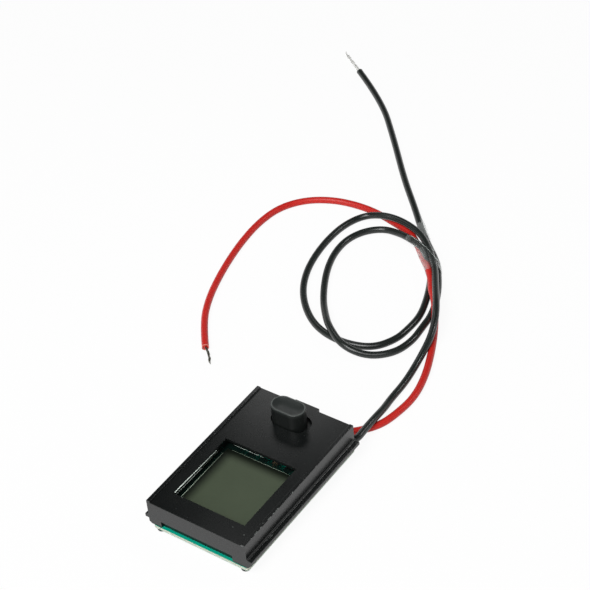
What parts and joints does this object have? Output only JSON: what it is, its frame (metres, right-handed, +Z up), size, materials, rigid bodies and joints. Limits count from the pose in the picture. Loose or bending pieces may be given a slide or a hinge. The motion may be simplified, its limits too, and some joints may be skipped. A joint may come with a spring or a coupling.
{
  "type": "digital panel meter",
  "caption": "Small panel meter: dark moulded housing with a square display window and an oval push button, green board under it, bundled red and black leads with bare ends.",
  "frame": {"origin": "on the table, under the middle of the meter's box without its leads", "axes": "+X across the meter towards its wide ledge, +Y along it from the display to the leads, +Z up out of the display"},
  "size_m": [0.0921, 0.1753, 0.0123],
  "materials": {
    "front_housing": "fine matt moulding texture with small nicks along its edges",
    "push_button": "satin",
    "display_film": "clear satin film over a grey-green display",
    "glass": "clear",
    "reflector": "satin grey",
    "rubber": "matt",
    "foam": "matt",
    "board": "green solder mask with a pale cut edge",
    "chip_body": "matt",
    "switch_body": "matt",
    "metal": "bright tinned",
    "capacitor": "matt",
    "black_insulation": "satin",
    "red_insulation": "satin",
    "strands": "tinned strands",
    "clear_film": "clear gloss"
  },
  "bodies": {
    "case": {"front_housing": "front_housing", "switch_base": "switch_body", "switch_cover": "metal", "switch_dome": "metal", "switch_terminals": "metal", "lcd_front_polarizer": "display_film", "lcd_front_glass": "glass", "lcd_rear_glass": "glass", "lcd_rear_polarizer": "reflector", "contact_strip": "rubber", "foam_strip": "foam", "circuit_board": "board", "meter_chip": "chip_body", "chip_legs": "metal", "chip_resistors": "chip_body", "chip_capacitors": "capacitor", "chip_part_ends": "metal", "regulator": "chip_body", "regulator_legs": "metal", "solder_joints": "metal", "black_lead_stub": "strands", "red_lead_stub": "strands", "black_lead": "black_insulation", "red_lead": "red_insulation", "black_lead_tip": "strands", "red_lead_tip": "strands", "tape_band": "clear_film"},
    "button": {"push_button": "push_button", "switch_plunger": "switch_body"}
  },
  "joints": [
    {"name": "button_press", "type": "slide", "parent": "case", "child": "button", "axis": [0, 0, -1], "range_m": [0, 0.0003], "stiffness_N_per_m": 5000, "deforming": ["switch_dome"]}
  ]
}
